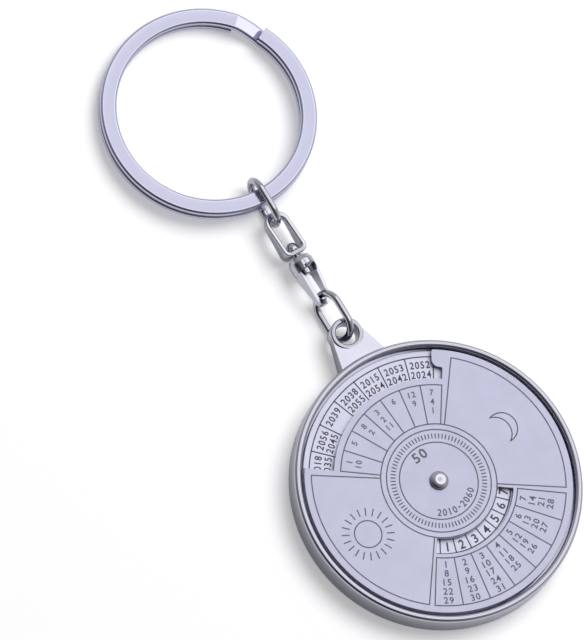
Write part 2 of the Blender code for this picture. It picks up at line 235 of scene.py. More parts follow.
def settle(piece):
    """Keep what the modifiers made as the piece's own clean mesh, with the object at the origin."""
    bpy.context.view_layer.update()
    made = piece.evaluated_get(bpy.context.evaluated_depsgraph_get())
    mesh = bpy.data.meshes.new_from_object(made)
    mesh.transform(piece.matrix_world)
    bm = bmesh.new()
    bm.from_mesh(mesh)
    bmesh.ops.remove_doubles(bm, verts=bm.verts, dist=cutting_dust)
    bmesh.ops.dissolve_degenerate(bm, edges=bm.edges, dist=cutting_dust)
    bm.to_mesh(mesh)
    bm.free()
    mesh.name = piece.name
    piece.modifiers.clear()
    piece.data = mesh
    piece.matrix_world = Matrix.Identity(4)
    smooth_faces(mesh)
    return piece


def cut_or_join(piece, operation, *others):
    """Cut or join with other objects, which are used up."""
    for other in others:
        step = piece.modifiers.new(operation.lower(), "BOOLEAN")
        step.operation = operation
        step.solver = "EXACT"
        step.object = other
    settle(piece)
    for other in others:
        bpy.data.objects.remove(other, do_unlink=True)


def soften(piece, width, segments=3):
    """Round the edges where faces meet at more than 50 degrees."""
    bevel = piece.modifiers.new("softened", "BEVEL")
    bevel.width = width
    bevel.segments = segments
    bevel.limit_method = "ANGLE"
    bevel.angle_limit = math.radians(50)
    settle(piece)


def hand_over(piece, body, node=None):
    """Keep the finished piece's flat faces flat in shading, hang it on its body, and hide the CAD node it
    replaces.
    """
    shading = piece.modifiers.new("shading", "WEIGHTED_NORMAL")
    shading.keep_sharp = True
    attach(piece, body)
    if node:
        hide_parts(node)


# Zinc die casting, tumbled and chrome-plated: a bright bluish mirror, hazier in some patches.
case_chrome = plated_metal("chrome_plated_zinc", "#C6C6D4", roughness=0.09, haze=0.06,
                           scratch_spacing=0.00012)
cup = rounded([
    (recess_radius, floor_height, 0), (recess_radius, case_height, rim_inner_rounding),
    (case_radius, case_height, rim_outer_rounding), (case_radius, 0, back_edge_rounding),
    (0, 0, 0), (0, rivet_bore_foot, 0), (rivet_bore_radius, rivet_bore_foot, 0),
    (rivet_bore_radius, floor_height, 0)], steps=12)
on_axis_at = [i for i, point in enumerate(cup) if point[0] == 0][-1]
case = lathe("case_casting", cup[on_axis_at:] + cup[:on_axis_at], large_steps, case_chrome)


def lug_half_thickness(y):
    """The lug tapers from its root to its hole and is even from there to its tip."""
    share = min(max((y - lug_root_y) / (lug_hole_y - lug_root_y), 0), 1)
    return (lug_root_thickness + (lug_tip_thickness - lug_root_thickness) * share) / 2


tip_rounding = eye_radius * 2 / 3
lug = prism("lug", rounded([
    (lug_root_half_width, lug_root_y, 0), (eye_radius, lug_hole_y, 0),
    (eye_radius, lug_tip_y, tip_rounding), (-eye_radius, lug_tip_y, tip_rounding),
    (-eye_radius, lug_hole_y, 0), (-lug_root_half_width, lug_root_y, 0)], steps=10),
    lug_half_thickness)
soften(lug, lug_edge_rounding)
lug_collar = lathe("collar", rounded([
    (lug_hole_radius, -eye_half_thickness, eye_rounding),
    (eye_radius, -eye_half_thickness, eye_rounding),
    (eye_radius, eye_half_thickness, eye_rounding),
    (lug_hole_radius, eye_half_thickness, eye_rounding)]), lug_steps)
lug_drill = prism("drill", arc((lug_hole_radius + eye_radius) / 2, 0, 360, lug_steps)[:-1],
                  half_depth=0.003)
for lug_part in (lug_collar, lug_drill):
    lug_part.data.transform(Matrix.Translation((0, lug_hole_y, 0)))
for lug_part in (lug, lug_collar, lug_drill):
    lug_part.data.transform(Matrix.Translation((0, 0, chain_height)))
cut_or_join(case, "UNION", lug)
cut_or_join(case, "DIFFERENCE", lug_drill)
cut_or_join(case, "UNION", lug_collar)
hand_over(case, "case_body", "case")


# The fixed disc under the dial is bright satin sheet steel, punched out and printed with a ring
# of years and a ring of weekday numbers, 28 columns of each. The centre rivet holds it down.
disc_radius = 0.01865
disc_hole_radius = 0.0011
disc_edge = 0.0001
plate_low = 0.00295
plate_high = 0.00355
columns = 28
column = 360 / columns
first_divider = 8.87
print_relief = 0.000012
line_width = 0.00017
circle_steps = 192
year_ring = (0.0140, 0.0178)
year_rows = (0.01665, 0.01528)
weekday_ring = (0.0079, 0.0101)
weekday_row = 0.00915
first_weekday_column = 18

# The grain's marks are 1 / 0.12 times longer along Y than across, and 260 patches are 3.8 mm each.
grain_stretch = 0.12
cloud_patches = 260
lighter_patch = 1.04
gloss_swing = 0.06
grain_strength = 0.25


def satin_metal(name, colour, roughness, grain_spacing, grain_depth):
    """Sheet metal with a short straight grain, rolled and then rubbed one way."""
    material, tree, shader, place = new_material(name)
    along = add_node(tree, "ShaderNodeMapping", {"Vector": place, "Scale": (1, grain_stretch, 1)})
    grain = add_node(tree, "ShaderNodeTexNoise", {
        "Vector": along.outputs["Vector"], "Scale": 1 / grain_spacing, "Detail": 4, "Roughness": 0.65})
    cloud = add_node(tree, "ShaderNodeTexNoise", {"Vector": place, "Scale": cloud_patches, "Detail": 2})
    mixed = add_node(tree, "ShaderNodeMath", {0: grain.outputs["Fac"], 1: cloud.outputs["Fac"]},
                     operation="ADD")
    share = add_node(tree, "ShaderNodeMapRange", {
        "Value": mixed.outputs["Value"], "From Min": 0.7, "From Max": 1.3})
    tint = add_node(tree, "ShaderNodeMix", {
        "Factor": share.outputs["Result"], "A": scaled(colour, darker_patch),
        "B": scaled(colour, lighter_patch)}, data_type="RGBA")
    gloss = add_node(tree, "ShaderNodeMapRange", {
        "Value": grain.outputs["Fac"], "From Min": noise_low, "From Max": noise_high,
        "To Min": roughness - gloss_swing, "To Max": roughness + gloss_swing})
    bump = add_node(tree, "ShaderNodeBump", {
        "Height": grain.outputs["Fac"], "Strength": grain_strength, "Distance": grain_depth})
    feed(tree, shader, {
        "Metallic": 1, "Base Color": tint.outputs["Result"], "Roughness": gloss.outputs["Result"],
        "Normal": bump.outputs["Normal"]})
    return material


def printing_ink(name, colour):
    """Ink, thin and dull, a little uneven in patches of about half a millimetre."""
    material, tree, shader, place = new_material(name)
    cloud = add_node(tree, "ShaderNodeTexNoise", {"Vector": place, "Scale": 1800, "Detail": 3})
    tint = add_node(tree, "ShaderNodeMix", {
        "Factor": cloud.outputs["Fac"], "A": linear(colour), "B": scaled(colour, 1.5, lift=0.02)},
        data_type="RGBA")
    feed(tree, shader, {"Base Color": tint.outputs["Result"], "Roughness": 0.55})
    return material


def circle_line(bm, radius, face, start=0, end=360):
    """One printed line along an arc, as a thin solid that stands half sunk in the disc's face."""
    closed = abs(end - start) >= 360
    inner, outer = radius - line_width / 2, radius + line_width / 2
    low, high = face - print_relief, face + print_relief
    rows = []
    for i in range(circle_steps if closed else circle_steps + 1):
        degrees = start + (end - start) * i / circle_steps
        rows.append([bm.verts.new((*polar(reach, degrees), height))
                     for reach, height in ((inner, low), (outer, low), (outer, high), (inner, high))])
    for near, far in zip(rows, rows[1:] + (rows[:1] if closed else [])):
        for i in range(4):
            bm.faces.new((near[i - 1], near[i], far[i], far[i - 1]))
    if not closed:
        bm.faces.new(rows[0])
        bm.faces.new(list(reversed(rows[-1])))


# The figures are written at the font's own size, at which one figure takes 0.6 with its space.
font_pitch = 0.6
font_depth = 0.01
font_boldness = 0.02
font_spacing = 1.2


def figures(bm, text, height, pitch, radius, degrees, face, tops_outward):
    """Print one number, its middle at this radius and angle. Pitch is from one figure to the next."""
    curve = bpy.data.curves.new("figures", "FONT")
    curve.body = text
    curve.resolution_u = 3
    curve.extrude = font_depth
    curve.offset = font_boldness
    curve.space_character = font_spacing
    writing = bpy.data.objects.new("figures", curve)
    bpy.context.scene.collection.objects.link(writing)
    bpy.context.view_layer.update()
    mesh = bpy.data.meshes.new_from_object(writing.evaluated_get(bpy.context.evaluated_depsgraph_get()))
    xs = [v.co.x for v in mesh.vertices]
    ys = [v.co.y for v in mesh.vertices]
    middle = Matrix.Translation((-(min(xs) + max(xs)) / 2, -(min(ys) + max(ys)) / 2, 0))
    scale = Matrix.Diagonal((
        pitch / font_pitch, height / (max(ys) - min(ys)), print_relief / font_depth, 1))
    turn = Matrix.Rotation(math.radians(degrees - 90 if tops_outward else degrees + 90), 4, "Z")
    mesh.transform(Matrix.Translation((*polar(radius, degrees), face)) @ turn @ scale @ middle)
    bm.from_mesh(mesh)
    bpy.data.objects.remove(writing)
    bpy.data.curves.remove(curve)
    bpy.data.meshes.remove(mesh)


def new_tree(name, **inputs):
    """Start a Geometry Nodes tree. Returns it, its inputs' identifiers and their sockets."""
    tree = bpy.data.node_groups.new(name, "GeometryNodeTree")
    identifiers = {}
    for label, kind in inputs.items():
        label = label.replace("_", " ")
        identifiers[label] = tree.interface.new_socket(
            label, in_out="INPUT", socket_type="NodeSocket" + kind).identifier
    tree.interface.new_socket("Geometry", in_out="OUTPUT", socket_type="NodeSocketGeometry")
    return tree, identifiers, add_node(tree, "NodeGroupInput").outputs


def end_tree(tree, made, material):
    """End a tree in real geometry that carries its material."""
    real = add_node(tree, "GeometryNodeRealizeInstances", {"Geometry": made})
    dressed = add_node(tree, "GeometryNodeSetMaterial", {
        "Geometry": real.outputs["Geometry"], "Material": material})
    add_node(tree, "NodeGroupOutput", {"Geometry": dressed.outputs["Geometry"]})


def spokes_tree():
    """Geometry Nodes tree: bars set round a centre, each pointing away from it."""
    tree, identifiers, given = new_tree(
        "bars_round_a_centre", Count="Int", First_Angle="Float", Angle_Step="Float",
        Inner_Radius="Float", Outer_Radius="Float", Line_Width="Float", Relief="Float",
        Centre="Vector", Material="Material")
    length = add_node(tree, "ShaderNodeMath", {0: given["Outer Radius"], 1: given["Inner Radius"]},
                      operation="SUBTRACT")
    total = add_node(tree, "ShaderNodeMath", {0: given["Outer Radius"], 1: given["Inner Radius"]},
                     operation="ADD")
    middle = add_node(tree, "ShaderNodeMath", {0: total.outputs[0], 1: 0.5}, operation="MULTIPLY")
    depth = add_node(tree, "ShaderNodeMath", {0: given["Relief"], 1: 2.0}, operation="MULTIPLY")
    size = add_node(tree, "ShaderNodeCombineXYZ", {
        "X": length.outputs[0], "Y": given["Line Width"], "Z": depth.outputs[0]})
    out = add_node(tree, "ShaderNodeCombineXYZ", {"X": middle.outputs[0]})
    bar = add_node(tree, "GeometryNodeMeshCube", {"Size": size.outputs["Vector"]})
    bar = add_node(tree, "GeometryNodeTransform", {
        "Geometry": bar.outputs["Mesh"], "Translation": out.outputs["Vector"]})
    spots = add_node(tree, "GeometryNodePoints", {"Count": given["Count"], "Position": given["Centre"]})
    number = add_node(tree, "GeometryNodeInputIndex")
    angle = add_node(tree, "ShaderNodeMath", {
        0: number.outputs["Index"], 1: given["Angle Step"], 2: given["First Angle"]},
        operation="MULTIPLY_ADD")
    turn = add_node(tree, "ShaderNodeCombineXYZ", {"Z": angle.outputs[0]})
    bars = add_node(tree, "GeometryNodeInstanceOnPoints", {
        "Points": spots.outputs[0], "Instance": bar.outputs["Geometry"],
        "Rotation": turn.outputs["Vector"]})
    end_tree(tree, bars.outputs["Instances"], given["Material"])
    return tree, identifiers


def grown(name, tree_and_identifiers, inputs, base=None):
    """Run a Geometry Nodes tree on a new object and keep its result as a plain mesh."""
    tree, identifiers = tree_and_identifiers
    piece = bpy.data.objects.new(name, base or bpy.data.meshes.new(name))
    bpy.context.scene.collection.objects.link(piece)
    step = piece.modifiers.new("grown", "NODES")
    step.node_group = tree
    for key, value in inputs.items():
        step[identifiers[key]] = value
    return settle(piece)


def spokes(name, count, first, step, inner, outer, face, ink, centre=(0, 0)):
    """Printed bars round a centre, as wide as every printed line."""
    return grown(name, bars_round_a_centre, {
        "Count": count, "First Angle": math.radians(first), "Angle Step": math.radians(step),
        "Inner Radius": inner, "Outer Radius": outer, "Line Width": line_width,
        "Relief": print_relief, "Centre": (*centre, face), "Material": ink})


def gather(name, bm, extras, material):
    """Join loose print and the bars that Geometry Nodes made into one piece."""
    for extra in extras:
        bm.from_mesh(extra.data)
        bpy.data.objects.remove(extra)
    return new_piece(name, bm, material)


def punched_disc(name, low, high, material):
    """A disc with a rivet hole, its cut edges broken."""
    return lathe(name, rounded([
        (disc_hole_radius, low, disc_edge / 2), (disc_radius, low, disc_edge),
        (disc_radius, high, disc_edge), (disc_hole_radius, high, disc_edge / 2)], steps=3),
        large_steps, material)


# Rolled steel, lacquered: a pale lilac grey, so that the figures can be read in the windows.
plate_satin = satin_metal("satin_steel_lacquered", "#D3D4E7", roughness=0.42,
                          grain_spacing=0.00009, grain_depth=0.000003)
# Black pad-printing ink, so thin that the metal greys it.
black_ink = printing_ink("pad_printing_ink_black", "#3E3F49")
bars_round_a_centre = spokes_tree()
plate = punched_disc("calendar_plate_sheet", plate_low, plate_high, plate_satin)
hand_over(plate, "case_body", "calendar_plate")

# A column's years all end on the same weekday, one day later with each column. Seven columns
# show while the dial is at rest, and the rest of the years fill the others in order.
years_at_rest = {4: (2052, 2024), 5: (2053, 2042), 6: (2015, 2054), 7: (2038, 2055), 8: (2039,),
                 9: (2056, 2045), 10: (2018, 2035)}
years_in_column = {index: list(years) for index, years in years_at_rest.items()}
for index in years_at_rest:
    others = [year for year in range(2010, 2061)
              if (year - 2000 + (year - 2000) // 4) % 7 == (index - 2) % 7
              and year not in years_at_rest[index]]
    for block in (1, 2, 3):
        years_in_column[(index + 7 * block) % columns] = others[2 * block - 2:2 * block]
plate_print = bmesh.new()
for radius in (year_ring[1], weekday_ring[1]):
    circle_line(plate_print, radius, plate_high)
for index in range(columns):
    middle = first_divider + column * (index + 0.5)
    for year, radius in zip(years_in_column[index], year_rows):
        figures(plate_print, str(year), height=0.00104, pitch=0.00074, radius=radius,
                degrees=middle, face=plate_high, tops_outward=True)
    figures(plate_print, str((index - first_weekday_column) % 7 + 1), height=0.0013, pitch=0.0010,
            radius=weekday_row, degrees=middle, face=plate_high, tops_outward=False)
plate_bars = [
    spokes(name, columns, first_divider, column, inner, outer, plate_high, black_ink)
    for name, (inner, outer) in (("year_dividers", year_ring), ("weekday_dividers", weekday_ring))]
plate_print = gather("calendar_plate_print", plate_print, plate_bars, black_ink)
hand_over(plate_print, "case_body")


# The turning disc is satin sheet metal over the fixed one. It is punched with a year window,
# open to the edge and with a finger tab, and a weekday window, and etched with months and dates.
dial_low = 0.00385
dial_high = 0.00435
dial_turn = 11.3
year_window_inner = 0.0145
weekday_window = (0.00815, 0.01035)
window_half_angle = 45
window_steps = 64
tab_low = 0.0162
tab_high = 0.0183
tab_reach = 0.00145
tab_fillet = 0.0003
# Two corners are rounded just short of a half circle, at which their arcs would meet.
short_of_half = 0.99

# Fine satin metal, lacquered over: a pale grey with a lilac cast, too dull for clear reflections.
dial_satin = satin_metal("satin_aluminium_lacquered", "#C6C7DD", roughness=0.46,
                         grain_spacing=0.00011, grain_depth=0.000004)
# Dark grey ink, as wiped into etched lines. So shallow a line is drawn as a thin raised one.
grey_ink = printing_ink("etched_line_ink_grey", "#5C5D69")
dial = punched_disc("dial_sheet", dial_low, dial_high, dial_satin)
tab_end = 90 - window_half_angle + math.degrees(tab_reach / tab_low)
tab_rounding = min((tab_high - tab_low) / 2, tab_reach - tab_fillet) * short_of_half
right = 90 - window_half_angle
left = 90 + window_half_angle
year_outline = rounded([
    (*polar(year_window_inner, right), 0), (*polar(tab_low, right), tab_fillet),
    (*polar(tab_low, tab_end), tab_rounding), (*polar(tab_high, tab_end), tab_rounding),
    (*polar(case_radius, (right + tab_end) / 2), 0)], steps=12)
year_cutter = prism("year_cutter", year_outline + arc(case_radius, tab_end, left, window_steps)
                    + arc(year_window_inner, left, right, window_steps)[:-1], half_depth=0.001)
weekday_cutter = prism(
    "weekday_cutter", arc(weekday_window[1], right + 180, left + 180, window_steps)
    + arc(weekday_window[0], left + 180, right + 180, window_steps), half_depth=0.001)
for cutter in (year_cutter, weekday_cutter):
    cutter.data.transform(Matrix.Translation((0, 0, (dial_low + dial_high) / 2)))
cut_or_join(dial, "DIFFERENCE", year_cutter, weekday_cutter)


# At a sharp corner the line reaches out by half its width divided by this, and no further.
mitre_limit = 0.35


def stroke(bm, points, face):
    """One printed line round a closed outline, mitred at its corners."""
    rows = []
    for i, point in enumerate(points):
        before = (point - points[i - 1]).normalized()
        after = (points[(i + 1) % len(points)] - point).normalized()
        side = Vector((-(before + after).y, (before + after).x))
        side = side.normalized() if side.length > 1e-3 else Vector((-after.y, after.x))
        reach = line_width / 2 / max(side.dot(Vector((-after.y, after.x))), mitre_limit)
        rows.append([bm.verts.new((*(point + side * reach * sign), face + lift)) for sign, lift in (
            (-1, -print_relief), (1, -print_relief), (1, print_relief), (-1, print_relief))])
    for near, far in zip(rows, rows[1:] + rows[:1]):
        for i in range(4):
            bm.faces.new((near[i - 1], near[i], far[i], far[i - 1]))


# Two circles stand round the dial's centre, and four boxes stand outside them: the months, the
# sun, the dates and the crescent. Arcs between the boxes' inner corners close their circle.
title_circles = (0.00545, 0.00725)
box_inner = 0.00805
box_outer = 0.01764
month_outer = 0.0136
date_inner = 0.0109
month_start, month_end = 45.1, 134.9
sun_start, sun_end = 138.1, 222.6
date_start, date_end = 225.1, 314.9
moon_start, moon_end = 317.6, 401.35
box_steps = 48
dial_print = bmesh.new()
for radius in title_circles:
    circle_line(dial_print, radius, dial_high)
corner = math.degrees(line_width / 2 / box_inner)
for start, end in ((month_end, sun_start), (sun_end, moon_start), (moon_end, month_start + 360)):
    circle_line(dial_print, box_inner, dial_high, start + corner, end - corner)
for inner, outer, start, end in (
        (box_inner, month_outer, month_start, month_end), (box_inner, box_outer, sun_start, sun_end),
        (box_inner, box_outer, moon_start, moon_end), (date_inner, box_outer, date_start, date_end)):
    stroke(dial_print, arc(outer, start, end, box_steps) + arc(inner, end, start, box_steps), dial_high)

# Months that begin on the same weekday share a column, and 1 and 2 stand twice, once for leap
# years. Dates run in rows of seven, a week to a row.
months = ((1, 10), (5,), (8, 2), (3, 2, 11), (6,), (12, 9), (7, 4, 1))
month_rows = (0.0125, 0.01122, 0.00995)
box_column = (month_end - month_start) / 7
date_rows = (0.0118, 0.01307, 0.01434, 0.01561, 0.01688)
for index, stack in enumerate(months):
    for row, month in enumerate(stack):
        figures(dial_print, str(month), height=0.00085, pitch=0.00068, radius=month_rows[row],
                degrees=month_end - (index + 0.5) * box_column, face=dial_high, tops_outward=True)
for day in range(31):
    figures(dial_print, str(day + 1), height=0.00095, pitch=0.00077, radius=date_rows[day // 7],
            degrees=date_start + (day % 7 + 0.5) * box_column, face=dial_high, tops_outward=False)
figures(dial_print, "50", height=0.00145, pitch=0.0012, radius=0.0043, degrees=85.3,
        face=dial_high, tops_outward=True)
for place, sign in enumerate("2010-2060"):
    figures(dial_print, sign, height=0.00018 if sign == "-" else 0.0010, pitch=0.00074,
            radius=0.0045, degrees=266 + (place - 4) * 9.5, face=dial_high, tops_outward=False)
sun_centre = polar(0.01275, 176.8)
sun_radius = 0.0019
stroke(dial_print, [sun_centre + point for point in arc(sun_radius, 0, 360, steps=64)[:-1]], dial_high)

# The crescent is two arcs between the same two horns, one swelling further out than the other.
moon_place = Vector((0.01158, -0.0001))
horn = 0.0021
outer_swell = 0.0025
inner_swell = 0.0014
crescent = []
for swell, sign in ((outer_swell, 1), (inner_swell, -1)):
    radius = (horn ** 2 + swell ** 2) / (2 * swell)
    half = math.degrees(math.asin(horn / radius))
    half = 180 - half if swell > radius else half
    crescent += [Vector((point.x + swell - radius, point.y))
                 for point in arc(radius, -half * sign, half * sign, steps=40)[:-1]]
stroke(dial_print, [moon_place + point for point in crescent], dial_high)
dial_bars = [
    spokes("month_dividers", 6, month_start + box_column, box_column, box_inner + line_width / 2,
           month_outer - line_width / 2, dial_high, grey_ink),
    spokes("date_dividers", 6, date_start + box_column, box_column, date_inner + line_width / 2,
           box_outer - line_width / 2, dial_high, grey_ink),
    spokes("ring_ticks", count=84, first=0, step=360 / 84, inner=0.0060, outer=0.0067,
           face=dial_high, ink=grey_ink),
    spokes("sun_rays", count=20, first=0, step=18, inner=0.0026, outer=0.0037, face=dial_high,
           ink=grey_ink, centre=sun_centre)]
dial_print = gather("dial_print", dial_print, dial_bars, grey_ink)
for piece in (dial, dial_print):
    piece.data.transform(Matrix.Rotation(math.radians(dial_turn), 4, "Z"))
hand_over(dial, "dial_body", "dial")
hand_over(dial_print, "dial_body")


# The centre rivet is a small domed steel rivet, plated and set by pressing. The dial turns on it.
rivet_shank_radius = 0.0008
rivet_foot = 0.0009
rivet_head_low = 0.00455
rivet_head_radius = 0.0013
rivet_head_height = 0.00055
rivet_steps = 64
dome_steps = 14


def dome(radius, base, height):
    """Profile points from a dome's rim up to its crown on the axis."""
    quarter = [polar(1, 90 * i / dome_steps) for i in range(dome_steps)]
    return [(radius * point.x, base + height * point.y) for point in quarter] + [(0, base + height)]


# Steel wire and strip, formed, then chrome-plated: a harder and darker mirror than the case.
chain_chrome = plated_metal("chrome_plated_steel", "#C8C8D2", roughness=0.06, haze=0.05,
                            scratch_spacing=0.0001)
rivet = lathe("centre_rivet_head", [
    (0, rivet_foot), (rivet_shank_radius, rivet_foot), (rivet_shank_radius, rivet_head_low)]
    + dome(rivet_head_radius, rivet_head_low, rivet_head_height), rivet_steps, chain_chrome)
hand_over(rivet, "case_body", "centre_rivet")


# The jump ring is round steel wire bent into an oval and closed, through the lug's hole.
# Its joint is brazed and plated over, so no end shows.
jump_wire_radius = 0.0005
jump_bend_radius = 0.0022
jump_straight = 0.0024
jump_roll = 25
bend_steps = 40
wire_steps = 32


def wire_tree():
    """Geometry Nodes tree: round wire that follows a path."""
    tree, identifiers, given = new_tree(
        "wire_on_a_path", Geometry="Geometry", Wire_Radius="Float", Points_Round="Int",
        Material="Material")
    path = add_node(tree, "GeometryNodeMeshToCurve", {"Mesh": given["Geometry"]})
    section = add_node(tree, "GeometryNodeCurvePrimitiveCircle", {
        "Resolution": given["Points Round"], "Radius": given["Wire Radius"]})
    wire = add_node(tree, "GeometryNodeCurveToMesh", {
        "Curve": path.outputs["Curve"], "Profile Curve": section.outputs["Curve"]})
    end_tree(tree, wire.outputs["Mesh"], given["Material"])
    return tree, identifiers


def oval_link(name, bend_radius, straight, wire_radius, place, material):
    """A closed oval of wire, its lower bend's centre at the origin before it is placed."""
    points = arc(bend_radius, 180, 360, bend_steps)
    points += [point + Vector((0, straight)) for point in arc(bend_radius, 0, 180, bend_steps)]
    path = bpy.data.meshes.new(name)
    path.from_pydata([(*point, 0) for point in points],
                     [(i, (i + 1) % len(points)) for i in range(len(points))], [])
    link = grown(name, wire_on_a_path, {
        "Wire Radius": wire_radius, "Points Round": wire_steps, "Material": material}, path)
    link.data.transform(place)
    return link


wire_on_a_path = wire_tree()
jump = oval_link("jump_ring_wire", jump_bend_radius, jump_straight, jump_wire_radius,
                 Matrix.Translation((0, lug_tip_y, chain_height))
                 @ Matrix.Rotation(math.radians(jump_roll - 90), 4, "Y"), chain_chrome)
hand_over(jump, "jump_ring_body", "jump_ring")


# The swivel's lower half is turned from bar and milled flat into an eye that hangs on the jump
# ring. A slot runs up into its barrel, where the rivet's tail is headed over. Chrome-plated steel.
swivel_roll = 15
swivel_y = 0.030365
neck_y = 0.0032
slot_end_y = 0.00455
far_end_y = -0.0015
slot_half = 0.00075
slot_half_top = 0.0010
slot_corner = 0.0004
flank = 0.00048
eye_depth = 0.0010
neck_deeper_by = 0.0009
shank_shoulder = 0.0006
shank_end_share = 0.9
shank_edge_rounding = 0.0002
barrel_radius = 0.00175
barrel_end_radius = 0.0014
barrel_length = 0.0028
barrel_widest = (0.27, 0.74)
barrel_rounding = 0.0004
barrel_end_rounding = 0.0002
pin_bore_radius = 0.0007
pin_bore_beyond_slot = 0.0023
along_chain = Matrix.Rotation(-math.pi / 2, 4, "X")

swivel = lathe("swivel_eye_turned", rounded([
    (0, 0, 0), (barrel_end_radius, 0, barrel_end_rounding),
    (barrel_radius, barrel_length * barrel_widest[0], barrel_rounding),
    (barrel_radius, barrel_length * barrel_widest[1], barrel_rounding),
    (barrel_end_radius, barrel_length, barrel_end_rounding), (0, barrel_length, 0)]),
    steps=128, material=chain_chrome)
swivel.data.transform(Matrix.Translation((0, neck_y, 0)) @ along_chain)


def swivel_half_depth(y):
    """The shank is flat at its eye and deepens evenly up to its neck."""
    return (eye_depth + neck_deeper_by * min(max(y / neck_y, 0), 1)) / 2


outer_half = slot_half + flank
outer_half_top = slot_half_top + flank
shank = prism("shank", rounded([
    (outer_half, far_end_y, outer_half * shank_end_share), (outer_half, 0, shank_shoulder),
    (outer_half_top, neck_y, 0), (outer_half_top, slot_end_y, 0), (-outer_half_top, slot_end_y, 0),
    (-outer_half_top, neck_y, 0), (-outer_half, 0, shank_shoulder),
    (-outer_half, far_end_y, outer_half * shank_end_share)], steps=12), swivel_half_depth)
soften(shank, shank_edge_rounding, segments=4)
slot = prism("slot", rounded([
    (slot_half, -slot_half, slot_half * short_of_half), (slot_half_top, neck_y, 0),
    (slot_half_top, slot_end_y, slot_corner), (-slot_half_top, slot_end_y, slot_corner),
    (-slot_half_top, neck_y, 0), (-slot_half, -slot_half, slot_half * short_of_half)], steps=10),
    half_depth=0.00275)
pin_bore = prism("pin_bore", arc(pin_bore_radius, 0, 360, rivet_steps)[:-1], half_depth=0.0014)
pin_bore.data.transform(Matrix.Translation((0, slot_end_y + pin_bore_beyond_slot, 0)) @ along_chain)
cut_or_join(swivel, "UNION", shank)
cut_or_join(swivel, "DIFFERENCE", slot, pin_bore)
swivel.data.transform(Matrix.Translation((0, swivel_y, chain_height))
                      @ Matrix.Rotation(math.radians(swivel_roll), 4, "Y"))
hand_over(swivel, "swivel_body", "swivel_eye")


# The swivel's rivet joins its halves: a domed head that turns in the bow, a shank, and a tail
# headed over in the barrel's slot. Plated steel wire, cold-headed.
bow_y = 0.036665
pin_radius = 0.0005
pin_head_low = 0.00085
pin_head_radius = 0.00095
pin_head_height = 0.0012
pin_tail_top = -0.00195
pin_tail_low = -0.00295
pin_tail_radius = 0.00075
pin_tail_rounding = 0.0002
pin = lathe("swivel_rivet_headed", rounded([
    (0, pin_tail_low, 0), (pin_tail_radius, pin_tail_low, pin_tail_rounding),
    (pin_tail_radius, pin_tail_top, pin_tail_rounding), (pin_radius, pin_tail_top, 0),
    (pin_radius, pin_head_low, 0)], steps=4)
    + dome(pin_head_radius, pin_head_low, pin_head_height), rivet_steps, chain_chrome)
pin.data.transform(Matrix.Translation((0, bow_y, chain_height)) @ along_chain)
hand_over(pin, "swivel_body", "swivel_rivet")


# The swivel's upper half is a steel strip bent round into a bow, deep at the rivet and narrow at
# the top, where the wire link hangs. Its edges are tumbled round before plating.
bow_half_width = 0.00145
bow_base = 0.000325
bow_top = 0.00645
bow_base_bend = 0.0007
bow_base_depth = 0.0028
bow_top_depth = 0.0011
strip_side = 0.0006
strip_top = 0.0008
strip_base = 0.00065
strip_rounding = 0.0002
bow_path = rounded([
    (bow_half_width, bow_base, bow_base_bend), (bow_half_width, bow_top, bow_half_width * short_of_half),
    (-bow_half_width, bow_top, bow_half_width * short_of_half),
    (-bow_half_width, bow_base, bow_base_bend)], steps=14)
bow_mesh = bmesh.new()
bow_rows = []
for index, point in enumerate(bow_path):
    tangent = (bow_path[(index + 1) % len(bow_path)] - bow_path[index - 1]).normalized()
    outward = Vector((tangent.y, -tangent.x))
    rise = min(max((point.y - bow_base) / (bow_top - bow_base), 0), 1)
    half_deep = (bow_base_depth + (bow_top_depth - bow_base_depth) * rise) / 2
    strip_end = strip_top if outward.y > 0 else strip_base
    strip = strip_side + (strip_end - strip_side) * abs(outward.y)
    section = rounded([(strip / 2 * x, half_deep * y, strip_rounding)
                       for x, y in ((1, -1), (1, 1), (-1, 1), (-1, -1))], steps=4)
    bow_rows.append([bow_mesh.verts.new((point.x + outward.x * across, point.y + outward.y * across, deep))
                     for across, deep in section])
for near, far in zip(bow_rows, bow_rows[1:] + bow_rows[:1]):
    for i in range(len(near)):
        bow_mesh.faces.new((near[i - 1], near[i], far[i], far[i - 1]))
bow = new_piece("swivel_bow_strip", bow_mesh, chain_chrome)
bow_drill = prism("bow_drill", arc(pin_bore_radius, 0, 360, rivet_steps)[:-1], half_depth=0.001)
bow_drill.data.transform(Matrix.Translation((0, bow_base, 0)) @ along_chain)
cut_or_join(bow, "DIFFERENCE", bow_drill)
bow.data.transform(Matrix.Translation((0, bow_y, chain_height)))
hand_over(bow, "bow_body", "swivel_bow")


# The connecting link is round steel wire, like the jump ring, standing on edge between the bow
# and the split ring so that it can pass the ring's two turns.
link_y = 0.044075
link = oval_link(
    "connecting_link_wire", bend_radius=0.00216, straight=0.00238, wire_radius=0.0005,
    place=Matrix.Translation((0, link_y, chain_height)) @ Matrix.Rotation(-math.pi / 2, 4, "Y"),
    material=chain_chrome)
hand_over(link, "link_body", "connecting_link")


# The split ring is flat spring-steel wire wound twice round, with one step where it passes from
# the upper turn to the lower. The wire's faces are rolled flat and its edges almost half round.
ring_band_radius = 0.01384
ring_band_width = 0.0023
ring_wire_thickness = 0.00095
ring_turn_gap = 0.00042
ring_centre = (0, 0.0598462, 0.0019391)
ring_droop = 2.983


